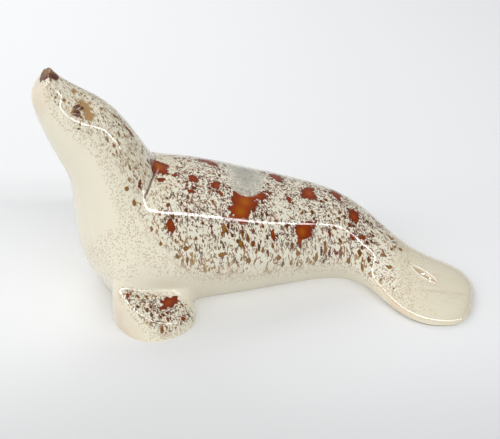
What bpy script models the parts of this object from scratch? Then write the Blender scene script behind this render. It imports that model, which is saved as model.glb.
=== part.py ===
"""Seal figurine: a hollow slip-cast pottery seal with its head raised, lying on a flat base.

One cast piece. The skin is a coarse cage of rings strung along the animal's spine, from the hind
flippers to the nose, with the fore flippers drawn out of its flanks, and subdivision rounds it.
A smaller cage of the same sections hollows it, and a drain hole opens the hollow underneath.
The head points to -X, the left side faces -Y, and the base lies on Z = 0.
"""

import bmesh
import bpy
from collections import namedtuple
from math import copysign, cos, pi, radians, sin
from mathutils import Matrix, Vector

MM = 0.001

# The stations below are drawn on a plan whose zero is off the middle of the finished figurine.
PLAN_MIDDLE = Vector((7.2, 23.7, 0.0))

RING_SIDES = 12
UNDER = RING_SIDES // 2
# A ring of control points shrinks by this share when it is subdivided.
RING_SHRINK = (4 + 2 * cos(2 * pi / RING_SIDES)) / 6

# One section across the animal, in millimetres and degrees. heading is the way the spine runs in
# plan, and lean tips the section back until it lies across the neck. A grounded section stands on
# the base, foot times its half width wide on each side. A sloped one is flatter on its upper sides.
Section = namedtuple(
    "Section", "x y z heading lean half_width half_height foot grounded slope", defaults=(0.0,)
)

SPINE = [
    # hind flippers: broad, low and flat underneath
    Section(131.5, -5.0, 1.5, -14, 0, 14.5, 4.1, 0.94, True),
    Section(125.5, -4.0, 2.0, -18, 0, 24.3, 6.3, 0.95, True),
    Section(112.0, 1.8, 2.8, -26, 0, 30.9, 9.2, 0.94, True),
    Section(97.0, 10.8, 4.4, -32, 0, 26.4, 12.2, 0.90, True),
    # root of the tail, where the body bends to the left
    Section(81.5, 24.5, 8.5, -34, 0, 20.4, 15.4, 0.78, True),
    Section(62.0, 38.0, 20.5, -12, 0, 23.0, 25.0, 0.62, True),
    # body
    Section(35.0, 39.5, 24.9, 5, 0, 30.5, 30.1, 0.60, True),
    Section(7.0, 34.5, 29.2, 8, 0, 36.5, 34.9, 0.60, True, 0.02),
    Section(-19.0, 30.0, 33.0, 8, 0, 41.5, 39.7, 0.60, True, 0.04),
    Section(-40.0, 27.0, 35.5, 8, 0, 43.5, 42.8, 0.60, True, 0.05),
    # shoulders and chest fan out from the crease behind the neck
    Section(-59.0, 24.0, 36.5, 7, 10, 43.5, 44.0, 0.58, True, 0.02),
    Section(-71.0, 22.5, 41.0, 7, 25, 41.5, 44.5, 0.45, True),
    Section(-78.0, 21.5, 51.5, 7, 38, 36.0, 38.0, 0.50, False),
    Section(-80.1, 20.5, 67.6, 8, 50, 30.0, 29.7, 0.50, False),
    # neck
    Section(-83.5, 19.5, 87.8, 9, 56, 24.5, 22.8, 0.50, False),
    Section(-91.0, 18.5, 101.8, 11, 54, 21.7, 21.6, 0.50, False, 0.05),
    # head, turned a little to the left
    Section(-98.5, 17.0, 112.5, 12, 50, 19.5, 19.0, 0.50, False, 0.12),
    Section(-106.0, 15.4, 122.0, 13, 46, 16.1, 14.6, 0.50, False, 0.14),
    # muzzle
    Section(-111.1, 14.1, 129.9, 13, 43, 12.8, 11.7, 0.50, False, 0.08),
    Section(-113.4, 13.3, 136.0, 13, 41, 10.2, 9.7, 0.50, False),
    Section(-113.7, 13.0, 138.8, 13, 41, 7.6, 8.3, 0.50, False),
]
SHOULDER = SPINE[10]
HEAD = SPINE[17]

# The fore flippers are drawn out of the low faces of the flanks, between these three sections.
# Each point is (towards the tail, outwards, up) from the spine at the middle one. The first row
# lifts the shoulder, and None leaves a point where its section has it.
FLIPPER_RINGS = (9, 10, 11)
FLIPPER_ROWS = [
    [(None, None), ((-11, 43, 21), None), ((-25, 47, 38), (-25, 13, 0))],
    [((20, 46, 12), (24, 38, 0)), ((-9, 52, 18), (-10, 42, 0)), ((-25, 49, 32), (-27, 34, 0))],
    [((18, 59, 8), (20, 59, 0)), ((-8, 65, 12), (-9, 69, 0)), ((-22, 55, 22), (-24, 49, 0))],
]
FOLD_SHARPNESS = 0.8

# The cast wall, and the sections that the hollow runs through.
WALL = 4.5
HOLLOW_SECTIONS = SPINE[4:18]
DRAIN_HOLE = Vector((-8.0, 31.5, 0.0))
DRAIN_RADIUS = 4.5

# Places on the head are (towards the neck, outwards, up) from the middle of its section.
EYE_SEAT = (8.9, 12.4, 0.7)
EYE_RADIUS = 2.7
NOSTRIL = (-4.6, 4.2, 20.5)
NOSTRIL_RADIUS = 1.4

# The slit between the hind flippers is a long shallow dent.
CLEFT_MIDDLE = Vector((103.5, 5.6, 15.4))
CLEFT_HALF_SIZES = Vector((10.5, 2.6, 3.8))
CLEFT_HEADING = -37
CLEFT_SLOPE = 15


def frame_of(section):
    """Unit vectors along the spine, across to the animal's left, and up the section."""
    turn = Matrix.Rotation(radians(section.heading), 3, "Z")
    lean = radians(section.lean)
    return turn @ Vector((1, 0, 0)), turn @ Vector((0, -1, 0)), turn @ Vector((sin(lean), 0, cos(lean)))


def on_plan(point):
    return (point - PLAN_MIDDLE) * MM


def off_section(section, height, place, side):
    """A point given as (towards the tail, outwards, up) from a section's middle, on one side."""
    along, across, _ = frame_of(section)
    back, out, up = place
    middle = Vector((section.x, section.y, height))
    return on_plan(middle + along * back + across * side * out + Vector((0, 0, up)))


def add_ring(cage, section, inset, capped):
    """A ring of control points around one section, from the back round by the left side."""
    _, across, upward = frame_of(section)
    middle = Vector((section.x, section.y, section.z))
    wide = (section.half_width - inset) / RING_SHRINK
    high = (section.half_height - inset) / RING_SHRINK
    place = Matrix((-across * wide, upward * high, across.cross(upward))).transposed().to_4x4()
    place.translation = middle
    ring = bmesh.ops.create_circle(
        cage, cap_ends=capped, segments=RING_SIDES, radius=1, matrix=place
    )["verts"]
    for step in (2, RING_SIDES - 2):
        vertex = ring[step]
        vertex.co -= across * (vertex.co - middle).dot(across) * section.slope
    if section.grounded:
        # The sides come down steeply to the outline of the base.
        for step in (-2, 2):
            vertex = ring[UNDER + step]
            outwards = (vertex.co - middle).dot(across)
            widest = max(abs(outwards), wide * (1 + section.foot) / 2)
            vertex.co += across * (copysign(widest, outwards) - outwards)
            vertex.co.z = max(vertex.co.z, inset + section.z / 2)
        for step in (-1, 0, 1):
            vertex = ring[UNDER + step]
            vertex.co -= across * vertex.co.dot(across)
            vertex.co += across * (middle.dot(across) - step * section.foot * (section.half_width - inset))
            vertex.co.z = inset
    for vertex in ring:
        vertex.co = on_plan(vertex.co)
    return ring


def ring_edges(ring):
    return {edge for vertex in ring for edge in vertex.link_edges if edge.other_vert(vertex) in ring}


def build_cage(sections, inset):
    """The rings of these sections, each set in by inset, joined into one closed tube."""
    cage = bmesh.new()
    rings = []
    for section in sections:
        capped = section in (sections[0], sections[-1])
        rings.append(add_ring(cage, section, inset, capped))
    for ring, following in zip(rings, rings[1:]):
        bmesh.ops.bridge_loops(cage, edges=list(ring_edges(ring) | ring_edges(following)))
    return cage, rings


def extruded(cage, front):
    """Extrudes the faces between these pairs of points, and gives the new pairs."""
    corners = set(sum(front, []))
    faces = [face for face in cage.faces if corners.issuperset(face.verts)]
    made = bmesh.ops.extrude_face_region(cage, geom=faces)["geom"]
    moved = [vertex for vertex in made if isinstance(vertex, bmesh.types.BMVert)]
    bmesh.ops.delete(cage, geom=faces, context="FACES")
    return [[min(moved, key=lambda new: (new.co - old.co).length) for old in pair] for pair in front]


def draw_out_flipper(cage, rings, side):
    """Extrudes the low faces of one flank into a fore flipper. side is 1 for the left, -1 for the right."""
    upper, lower = UNDER - 2 * side, UNDER - side
    front = [[rings[ring][upper], rings[ring][lower]] for ring in FLIPPER_RINGS]
    for number, row in enumerate(FLIPPER_ROWS):
        if number:
            front = extruded(cage, front)
        for pair, places in zip(front, row):
            for vertex, place in zip(pair, places):
                if place:
                    vertex.co = off_section(SHOULDER, 0, place, side)


def crease_cage(cage, rings):
    """Keeps the outline of the base sharp, so that it is a true flat, and the folds over the flippers."""
    crease = cage.edges.layers.float.new("crease_edge")
    for edge in cage.edges:
        flat = [all(abs(vertex.co.z) < 1e-7 for vertex in face.verts) for face in edge.link_faces]
        edge[crease] = 1.0 if any(flat) and not all(flat) else 0.0
    for side in (1, -1):
        armpit = [rings[ring][UNDER - 2 * side] for ring in FLIPPER_RINGS[:2]]
        cage.edges.get(armpit)[crease] = FOLD_SHARPNESS


def add_object(name, mesh, collection):
    bmesh.ops.recalc_face_normals(mesh, faces=mesh.faces)
    data = bpy.data.meshes.new(name)
    mesh.to_mesh(data)
    mesh.free()
    added = bpy.data.objects.new(name, data)
    collection.objects.link(added)
    return added


def add_cutter(name, mesh):
    cutter = add_object(name, mesh, cutters)
    cutter.hide_render = True
    cutter.display_type = "WIRE"
    return cutter


def round_off(piece, levels):
    rounding = piece.modifiers.new("rounding", "SUBSURF")
    rounding.levels = levels
    rounding.render_levels = levels


def boolean(piece, other, operation):
    step = piece.modifiers.new(other.name, "BOOLEAN")
    step.operation = operation
    step.solver = "EXACT"
    step.object = other


def add_ball(name, middle, radius, segments=16, rings=10):
    ball = bmesh.new()
    bmesh.ops.create_uvsphere(
        ball, u_segments=segments, v_segments=rings, radius=radius * MM, matrix=Matrix.Translation(middle)
    )
    return add_cutter(name, ball)


for old in list(bpy.data.objects):
    bpy.data.objects.remove(old)

parts = bpy.data.collections.new("seal_figurine")
cutters = bpy.data.collections.new("cutters")
bpy.context.scene.collection.children.link(parts)
bpy.context.scene.collection.children.link(cutters)

glaze = bpy.data.materials.new("cream_glaze")
glaze.use_nodes = True
finish = glaze.node_tree.nodes["Principled BSDF"]
finish.inputs["Base Color"].default_value = (0.74, 0.68, 0.55, 1)
finish.inputs["Roughness"].default_value = 0.12
finish.inputs["Metallic"].default_value = 0.0

# The skin, from the hind flippers to the nose.
cage, rings = build_cage(SPINE, 0)
draw_out_flipper(cage, rings, 1)
draw_out_flipper(cage, rings, -1)
crease_cage(cage, rings)
seal = add_object("seal_body", cage, parts)
seal.data.materials.append(glaze)
seal.data.shade_smooth()
round_off(seal, 2)

# The eyes stand out of the sides of the head as low domes.
for side, name in ((1, "left_eye"), (-1, "right_eye")):
    boolean(seal, add_ball(name, off_section(HEAD, HEAD.z, EYE_SEAT, side), EYE_RADIUS), "UNION")

# Nostrils, and the slit between the hind flippers.
for side, name in ((1, "left_nostril"), (-1, "right_nostril")):
    dent = add_ball(name, off_section(HEAD, HEAD.z, NOSTRIL, side), NOSTRIL_RADIUS, 12, 8)
    boolean(seal, dent, "DIFFERENCE")
cleft = bmesh.new()
lie = (
    Matrix.Translation(on_plan(CLEFT_MIDDLE))
    @ Matrix.Rotation(radians(CLEFT_HEADING), 4, "Z")
    @ Matrix.Rotation(radians(CLEFT_SLOPE), 4, "Y")
    @ Matrix.Diagonal((CLEFT_HALF_SIZES * MM).to_4d())
)
bmesh.ops.create_uvsphere(cleft, u_segments=20, v_segments=12, radius=1, matrix=lie)
boolean(seal, add_cutter("cleft", cleft), "DIFFERENCE")

# The hollow that is left when the slip is poured out, and its drain hole in the base.
hollow, _ = build_cage(HOLLOW_SECTIONS, WALL)
inside = add_cutter("hollow", hollow)
round_off(inside, 1)
boolean(seal, inside, "DIFFERENCE")
drain = bmesh.new()
bmesh.ops.create_cone(
    drain, cap_ends=True, segments=24, radius1=DRAIN_RADIUS * MM, radius2=DRAIN_RADIUS * MM,
    depth=4 * WALL * MM, matrix=Matrix.Translation(on_plan(DRAIN_HOLE)),
)
boolean(seal, add_cutter("drain_hole", drain), "DIFFERENCE")
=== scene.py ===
from collections import namedtuple
from math import copysign, cos, pi, radians, sin

import bmesh
import bpy
import numpy as np
from mathutils import Matrix, Vector


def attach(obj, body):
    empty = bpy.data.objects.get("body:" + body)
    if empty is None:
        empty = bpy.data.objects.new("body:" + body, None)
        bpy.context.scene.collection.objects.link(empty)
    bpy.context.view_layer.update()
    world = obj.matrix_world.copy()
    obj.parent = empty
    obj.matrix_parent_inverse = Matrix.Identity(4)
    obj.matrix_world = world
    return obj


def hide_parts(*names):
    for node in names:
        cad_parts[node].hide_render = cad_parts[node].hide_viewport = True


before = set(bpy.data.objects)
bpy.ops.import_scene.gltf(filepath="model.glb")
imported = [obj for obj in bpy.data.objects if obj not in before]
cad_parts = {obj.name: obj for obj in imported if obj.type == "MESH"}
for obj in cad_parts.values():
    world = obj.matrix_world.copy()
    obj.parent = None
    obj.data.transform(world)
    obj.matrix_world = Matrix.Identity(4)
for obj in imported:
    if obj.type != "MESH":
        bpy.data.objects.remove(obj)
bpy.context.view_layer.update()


# The casting
# The seal is one hollow pottery body, slip-cast in a plaster mould, so its surface is soft and
# rounded everywhere except for the cut line round its flat base. It is drawn as rings of points
# along the spine, from the hind flippers to the nose, and rounded by subdivision. Sizes are in mm.
MM = 0.001
PLAN_MIDDLE = Vector((7.2, 23.7, 0.0))
RING_SIDES = 12
UNDER = RING_SIDES // 2
RING_SHRINK = (4 + 2 * cos(2 * pi / RING_SIDES)) / 6

Section = namedtuple(
    "Section", "x y z heading lean half_width half_height foot grounded slope", defaults=(0.0,)
)
SPINE = [
    # hind flippers
    Section(131.5, -5.0, 1.5, -14, 0, 14.5, 4.1, 0.94, True),
    Section(125.5, -4.0, 2.0, -18, 0, 24.3, 6.3, 0.95, True),
    Section(112.0, 1.8, 2.8, -26, 0, 30.9, 9.2, 0.94, True),
    Section(97.0, 10.8, 4.4, -32, 0, 26.4, 12.2, 0.90, True),
    # root of the tail
    Section(81.5, 24.5, 8.5, -34, 0, 20.4, 15.4, 0.78, True),
    Section(62.0, 38.0, 20.5, -12, 0, 23.0, 25.0, 0.62, True),
    # body
    Section(35.0, 39.5, 24.9, 5, 0, 30.5, 30.1, 0.60, True),
    Section(7.0, 34.5, 29.2, 8, 0, 36.5, 34.9, 0.60, True, 0.02),
    Section(-19.0, 30.0, 33.0, 8, 0, 41.5, 39.7, 0.60, True, 0.04),
    Section(-40.0, 27.0, 35.5, 8, 0, 43.5, 42.8, 0.60, True, 0.05),
    # shoulders and chest
    Section(-59.0, 24.0, 36.5, 7, 10, 43.5, 44.0, 0.58, True, 0.02),
    Section(-71.0, 22.5, 41.0, 7, 25, 41.5, 44.5, 0.45, True),
    Section(-78.0, 21.5, 51.5, 7, 38, 36.0, 38.0, 0.50, False),
    Section(-80.1, 20.5, 67.6, 8, 50, 30.0, 29.7, 0.50, False),
    # neck
    Section(-83.5, 19.5, 87.8, 9, 56, 24.5, 22.8, 0.50, False),
    Section(-91.0, 18.5, 101.8, 11, 54, 21.7, 21.6, 0.50, False, 0.05),
    # head and muzzle
    Section(-98.5, 17.0, 112.5, 12, 50, 19.5, 19.0, 0.50, False, 0.12),
    Section(-106.0, 15.4, 122.0, 13, 46, 16.1, 14.6, 0.50, False, 0.14),
    Section(-111.1, 14.1, 129.9, 13, 43, 12.8, 11.7, 0.50, False, 0.08),
    Section(-113.4, 13.3, 136.0, 13, 41, 10.2, 9.7, 0.50, False),
    Section(-113.7, 13.0, 138.8, 13, 41, 7.6, 8.3, 0.50, False),
]
SHOULDER = SPINE[10]
FLIPPER_RINGS = (9, 10, 11)
# Rows of corners from the shoulder outwards, an upper and a lower one for each ring, in mm back of
# the shoulder, out and up. None leaves a corner where it is.
FLIPPER_ROWS = [
    [(None, None), ((-11, 43, 21), None), ((-25, 47, 38), (-25, 13, 0))],
    [((20, 46, 12), (24, 38, 0)), ((-9, 52, 18), (-10, 42, 0)), ((-25, 49, 32), (-27, 34, 0))],
    [((18, 59, 8), (20, 59, 0)), ((-8, 65, 12), (-9, 69, 0)), ((-22, 55, 22), (-24, 49, 0))],
]
FOLD_SHARPNESS = 0.8
FLAT_WITHIN = 0.0001
SKIN_LEVELS = 4


def frame_of(section):
    turn = Matrix.Rotation(radians(section.heading), 3, "Z")
    lean = radians(section.lean)
    return turn @ Vector((1, 0, 0)), turn @ Vector((0, -1, 0)), turn @ Vector((sin(lean), 0, cos(lean)))


def on_plan(point):
    return (point - PLAN_MIDDLE) * MM


def off_section(section, height, place, side):
    """A place given in mm back of a section's middle, out to a side and up from a height."""
    along, across, _ = frame_of(section)
    back, out, up = place
    middle = Vector((section.x, section.y, height))
    return on_plan(middle + along * back + across * side * out + Vector((0, 0, up)))


def add_ring(cage, section, inset, capped):
    _, across, upward = frame_of(section)
    middle = Vector((section.x, section.y, section.z))
    wide = (section.half_width - inset) / RING_SHRINK
    high = (section.half_height - inset) / RING_SHRINK
    place = Matrix((-across * wide, upward * high, across.cross(upward))).transposed().to_4x4()
    place.translation = middle
    ring = bmesh.ops.create_circle(
        cage, cap_ends=capped, segments=RING_SIDES, radius=1, matrix=place
    )["verts"]
    for step in (2, RING_SIDES - 2):
        vertex = ring[step]
        vertex.co -= across * (vertex.co - middle).dot(across) * section.slope
    if section.grounded:
        for step in (-2, 2):
            vertex = ring[UNDER + step]
            outwards = (vertex.co - middle).dot(across)
            widest = max(abs(outwards), wide * (1 + section.foot) / 2)
            vertex.co += across * (copysign(widest, outwards) - outwards)
            vertex.co.z = max(vertex.co.z, inset + section.z / 2)
        for step in (-1, 0, 1):
            vertex = ring[UNDER + step]
            vertex.co -= across * vertex.co.dot(across)
            vertex.co += across * (middle.dot(across) - step * section.foot * (section.half_width - inset))
            vertex.co.z = inset
    for vertex in ring:
        vertex.co = on_plan(vertex.co)
    return ring


def ring_edges(ring):
    return {edge for vertex in ring for edge in vertex.link_edges if edge.other_vert(vertex) in ring}


def build_cage(sections, inset):
    cage = bmesh.new()
    rings = []
    for section in sections:
        capped = section in (sections[0], sections[-1])
        rings.append(add_ring(cage, section, inset, capped))
    for ring, following in zip(rings, rings[1:]):
        bmesh.ops.bridge_loops(cage, edges=list(ring_edges(ring) | ring_edges(following)))
    return cage, rings


def extruded(cage, front):
    corners = set(sum(front, []))
    faces = [face for face in cage.faces if corners.issuperset(face.verts)]
    made = bmesh.ops.extrude_face_region(cage, geom=faces)["geom"]
    moved = [vertex for vertex in made if isinstance(vertex, bmesh.types.BMVert)]
    bmesh.ops.delete(cage, geom=faces, context="FACES")
    return [[min(moved, key=lambda new: (new.co - old.co).length) for old in pair] for pair in front]


def draw_out_flipper(cage, rings, side):
    upper, lower = UNDER - 2 * side, UNDER - side
    front = [[rings[ring][upper], rings[ring][lower]] for ring in FLIPPER_RINGS]
    for number, row in enumerate(FLIPPER_ROWS):
        if number:
            front = extruded(cage, front)
        for pair, places in zip(front, row):
            for vertex, place in zip(pair, places):
                if place:
                    vertex.co = off_section(SHOULDER, 0, place, side)


def rounded_mesh(name, cage, levels):
    """The subdivided surface of a cage, as plain mesh data."""
    bmesh.ops.recalc_face_normals(cage, faces=cage.faces)
    data = bpy.data.meshes.new(name)
    cage.to_mesh(data)
    cage.free()
    former = bpy.data.objects.new(name, data)
    bpy.context.scene.collection.objects.link(former)
    rounding = former.modifiers.new("rounding", "SUBSURF")
    rounding.levels = rounding.render_levels = levels
    bpy.context.view_layer.update()
    graph = bpy.context.evaluated_depsgraph_get()
    rounded = bpy.data.meshes.new_from_object(former.evaluated_get(graph))
    bpy.data.objects.remove(former)
    return rounded


cage, rings = build_cage(SPINE, 0)
draw_out_flipper(cage, rings, 1)
draw_out_flipper(cage, rings, -1)
crease = cage.edges.layers.float.new("crease_edge")
for edge in cage.edges:
    flat = [all(abs(vertex.co.z) < FLAT_WITHIN * MM for vertex in face.verts) for face in edge.link_faces]
    edge[crease] = 1.0 if any(flat) and not all(flat) else 0.0
for side in (1, -1):
    armpit = [rings[ring][UNDER - 2 * side] for ring in FLIPPER_RINGS[:2]]
    cage.edges.get(armpit)[crease] = FOLD_SHARPNESS
skin = rounded_mesh("seal_skin", cage, SKIN_LEVELS)


# Face, folds and hind flippers, as the mould has them
# The mould prints the soft detail into the casting: domed eyes under heavy lids, two nostrils, the
# pads of the muzzle, a fold behind the neck, and the slit between the hind flippers.
FOOT_WITHIN = 0.001
# How far a dent spreads and how far the skin is made finer for it, in reaches of the dent.
PRESS_SPREAD = 3
PRESS_FINER = 2.5
PRESS_FLATTENING = 0.5
HEAD = SPINE[17]
# Places on the head: mm back of the middle of its section, out to a side and up.
EYE_SEAT = (8.9, 13.4, 0.7)
EYE_REACH = 2.4
EYE_RISE = 0.8
EYE_ROUNDNESS = 0.6
LID_REACH = 3.7
LID_RISE = 0.55
LID_WIDTH = 0.9
LID_TILT = 0.5
LID_ROUNDNESS = 0.7
MOAT_GAP = 0.3
MOAT_WIDTH = 0.45
MOAT_DEPTH = 0.35
EYE_FINER = 6
EYE_SURROUND = 9
NOSTRIL = (-4.6, 4.2, 20.5)
NOSTRIL_REACH = 1.5
NOSTRIL_DEPTH = 0.9
NOSTRIL_SLANT = 0.3
CLEFT_MIDDLE = Vector((103.5, 5.6, 13.6))
CLEFT_REACH = Vector((9.4, 2.4))
CLEFT_HEADING = -37
CLEFT_DEPTH = 2.4
CLEFT_WALL = 0.75
CLEFT_TAPER = 2
CLEFT_FINER = (12, 12, 10.5)
CLEFT_SURROUND = 16
CLEFT_FLOOR = 3
LIP_RISE = 0.8
LIP_GAP = 0.5
LIP_WIDTH = 0.6
NARROWEST = 0.05
# Section number, degrees round from the ridge, reach and depth in mm; a negative depth swells.
FACE_SWELLS = [
    (17.0, 42, 5.0, 0.9), (16.4, 40, 5.5, 1.0), (15.8, 42, 5.5, 0.5), (17.2, 84, 4.6, -0.8),
    (16.6, 86, 5.0, -1.0), (16.0, 80, 5.0, -0.5), (19.7, 20, 4.4, -0.4), (19.9, 60, 4.0, -0.4),
]
TAIL_SWELLS = [(4.0, 10, 9.0, -1.0), (3.9, 52, 9.0, 1.2)]
# Section number and degrees round from the ridge, from the nape to the side of the neck.
NECK_FOLD = [(11.3, 8), (11.9, 19), (12.1, 30), (12.1, 41), (12.15, 46)]
FOLD_WIDTH = 1.0
FOLD_DEPTH = 0.7
FOLD_SPREAD = 4
FOLD_FINER = 4
FOLD_SURROUND = 40
FOLD_START = 4
FOLD_END = 6


def refine(form, middle, reach, rounds=1):
    """Splits the faces within reach of a point, for detail finer than the rest of the skin needs."""
    for _ in range(rounds):
        within = {vertex for vertex in form.verts if (vertex.co - middle).length < reach}
        near = [edge for edge in form.edges if within.issuperset(edge.verts)]
        bmesh.ops.subdivide_edges(form, edges=near, cuts=1, use_grid_fill=True)


def near_points(form, middle, reach):
    form.normal_update()
    return [vertex for vertex in form.verts if (vertex.co - middle).length < reach]


def nearest_point(form, place):
    return min(form.verts, key=lambda vertex: (vertex.co - place).length_squared)


def bell(distance, width):
    return np.exp(-((distance / width) ** 2))


def model_eye(form, side):
    seat = off_section(HEAD, HEAD.z, EYE_SEAT, side)
    refine(form, seat, EYE_FINER * MM)
    middle = nearest_point(form, seat)
    form.normal_update()
    outwards = middle.normal.copy()
    middle = middle.co.copy()
    upwards = (Vector((0, 0, 1)) - outwards * outwards.z).normalized()
    backwards = upwards.cross(outwards) * side
    moves = []
    for vertex in near_points(form, middle, EYE_SURROUND * MM):
        offset = (vertex.co - middle) / MM
        up, back = offset.dot(upwards), offset.dot(backwards)
        reach = np.hypot(up, back)
        dome = EYE_RISE * max(0, 1 - (reach / EYE_REACH) ** 2) ** EYE_ROUNDNESS
        moat = MOAT_DEPTH * bell(reach - EYE_REACH - MOAT_GAP, MOAT_WIDTH)
        # The lid is fullest above the eye and a little behind it; 1.12 is the length of (1, LID_TILT).
        towards_lid = (up + LID_TILT * back) / (1.12 * max(reach, 0.1))
        lid = LID_RISE * bell(reach - LID_REACH, LID_WIDTH) * max(0, towards_lid) ** LID_ROUNDNESS
        moves.append((vertex, outwards * (dome - moat + lid) * MM))
    for vertex, move in moves:
        vertex.co += move


def press(form, middle, inwards, reach, depth, fineness=0):
    """Dents the skin round a point, or swells it where the depth is negative."""
    if fineness:
        refine(form, middle, PRESS_FINER * reach * MM, fineness)
    for vertex in near_points(form, middle, PRESS_SPREAD * reach * MM):
        away = (vertex.co - middle) / MM
        away -= inwards * away.dot(inwards) * PRESS_FLATTENING
        vertex.co += inwards * depth * bell(away.length, reach) * MM


def fold_neck(form, side):
    """Presses the soft line of the fold into one side of the neck."""
    line = [skin_place(station, turn * side) for station, turn in NECK_FOLD]
    for place in line:
        refine(form, place, FOLD_FINER * MM, 2)
    moves = []
    for vertex in near_points(form, line[len(line) // 2], FOLD_SURROUND * MM):
        away = FOLD_SURROUND
        for start, end in zip(line, line[1:]):
            run = end - start
            share = min(1, max(0, (vertex.co - start).dot(run) / run.length_squared))
            away = min(away, (vertex.co - start - run * share).length / MM)
        if away < FOLD_SPREAD * FOLD_WIDTH:
            from_start = (vertex.co - line[0]).length / (FOLD_START * MM)
            from_end = (vertex.co - line[-1]).length / (FOLD_END * MM)
            taper = min(1, from_end, from_start)
            moves.append((vertex, vertex.normal * FOLD_DEPTH * bell(away, FOLD_WIDTH) * taper * MM))
    for vertex, move in moves:
        vertex.co -= move


def skin_place(station, turn):
    """About where the skin is at a section number and an angle round from the ridge."""
    low = int(station)
    share, around = station - low, radians(turn)
    place = Vector((0, 0, 0))
    for section, weight in ((SPINE[low], 1 - share), (SPINE[low + 1], share)):
        _, left, up = frame_of(section)
        middle = Vector((section.x, section.y, section.z))
        rim = left * section.half_width * sin(around) + up * section.half_height * cos(around)
        place += (middle + rim) * weight
    return on_plan(place)


def slit_opening(run):
    """How open the slit is at a distance along it: 1 at its middle and 0 at its ends."""
    return np.clip(1 - (run / CLEFT_REACH.x) ** 2, 0, 1)


form = bmesh.new()
form.from_mesh(skin)
on_foot = [vertex for vertex in form.verts if vertex.co.z < FOOT_WITHIN * MM]
for station, turn, reach, depth in TAIL_SWELLS:
    spot = nearest_point(form, skin_place(station, turn))
    press(form, spot.co.copy(), -spot.normal, reach, depth)
for vertex in on_foot:
    vertex.co.z = 0
for side in (1, -1):
    # The eye lies in a dish, over a full cheek, and the whisker pad swells in front of it.
    for station, turn, reach, depth in FACE_SWELLS:
        spot = nearest_point(form, skin_place(station, turn * side))
        press(form, spot.co.copy(), -spot.normal, reach, depth)
    fold_neck(form, side)
    model_eye(form, side)
    nostril = nearest_point(form, off_section(HEAD, HEAD.z, NOSTRIL, side)).co.copy()
    _, across, upwards = frame_of(HEAD)
    inwards = (-upwards - across * side * NOSTRIL_SLANT).normalized()
    press(form, nostril, inwards, NOSTRIL_REACH, NOSTRIL_DEPTH, 1)
slit_way = Matrix.Rotation(radians(CLEFT_HEADING), 3, "Z") @ Vector((1, 0, 0))
slit_side = Vector((0, 0, 1)).cross(slit_way)
cleft = on_plan(CLEFT_MIDDLE)
for reach in CLEFT_FINER:
    refine(form, cleft, reach * MM)
for vertex in near_points(form, cleft, CLEFT_SURROUND * MM):
    offset = (vertex.co - cleft) / MM
    if vertex.co.z < CLEFT_FLOOR * MM:
        continue
    run, off = offset.dot(slit_way), offset.dot(slit_side)
    opening = slit_opening(run)
    across_slit = abs(off) / (CLEFT_REACH.y * opening + NARROWEST)
    vertex.co.z -= CLEFT_DEPTH * MM * bell(across_slit, CLEFT_WALL) * min(1, CLEFT_TAPER * opening)
    lip = bell(abs(off) - CLEFT_REACH.y * opening - LIP_GAP, LIP_WIDTH) * min(1, CLEFT_TAPER * opening)
    vertex.co.z += LIP_RISE * MM * lip
for vertex in form.verts:
    vertex.co.z = max(vertex.co.z, 0)
form.to_mesh(skin)
form.free()


# Hollow, drain hole and foot
# The slip is poured out again once a wall has set, which leaves the body hollow, with a drain hole
# in its base. The foot is wiped free of glaze before the firing, so bare clay shows there.
WALL = 4.5
HOLLOW_SECTIONS = SPINE[4:18]
HOLLOW_LEVELS = 3
DRAIN_HOLE = Vector((-8.0, 31.5, 0.0))
DRAIN_RADIUS = 4.5
DRAIN_SIDES = 48
FOOT_FACING = -0.99
FOOT_HEIGHT = 0.05
SHARP_FROM = radians(50)


def cut_from(piece, cutter_mesh, name):
    cutter = bpy.data.objects.new(name, cutter_mesh)
    bpy.context.scene.collection.objects.link(cutter)
    step = piece.modifiers.new(name, "BOOLEAN")
    step.operation = "DIFFERENCE"
    step.solver = "EXACT"
    step.object = cutter
    step.material_mode = "TRANSFER"
    bpy.context.view_layer.update()
    cut = bpy.data.meshes.new_from_object(piece.evaluated_get(bpy.context.evaluated_depsgraph_get()))
    piece.modifiers.clear()
    piece.data = cut
    bpy.data.objects.remove(cutter)


clay = bpy.data.materials.new("bare_clay")
clay.use_nodes = True
glaze = bpy.data.materials.new("mottled_glaze")
glaze.use_nodes = True
skin.materials.append(glaze)
skin.materials.append(clay)

seal = bpy.data.objects.new("seal_glazed", skin)
bpy.context.scene.collection.objects.link(seal)
hollow_cage, _ = build_cage(HOLLOW_SECTIONS, WALL)
hollow = rounded_mesh("hollow", hollow_cage, HOLLOW_LEVELS)
hollow.materials.append(clay)
cut_from(seal, hollow, "hollow")
bore = bmesh.new()
bmesh.ops.create_cone(
    bore, cap_ends=True, segments=DRAIN_SIDES, radius1=DRAIN_RADIUS * MM, radius2=DRAIN_RADIUS * MM,
    depth=4 * WALL * MM, matrix=Matrix.Translation(on_plan(DRAIN_HOLE)),
)
bore_mesh = bpy.data.meshes.new("bore")
bore.to_mesh(bore_mesh)
bore.free()
bore_mesh.materials.append(clay)
cut_from(seal, bore_mesh, "bore")
skin = seal.data
for face in skin.polygons:
    if face.normal.z < FOOT_FACING and face.center.z < FOOT_HEIGHT * MM:
        face.material_index = 1
skin.shade_smooth()
skin.set_sharp_from_angle(angle=SHARP_FROM)

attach(seal, "root")
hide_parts("seal_body")


# Where the glazes lie
# The body is dipped in cream, and the upper half then sprayed with a white that breaks over iron
# brown. What lies where is kept as attributes of the skin, such as how deep the white is, where the
# iron shows through as rust, and how dark the glaze has pooled.
Mark = namedtuple("Mark", "station turn along down")
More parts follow.
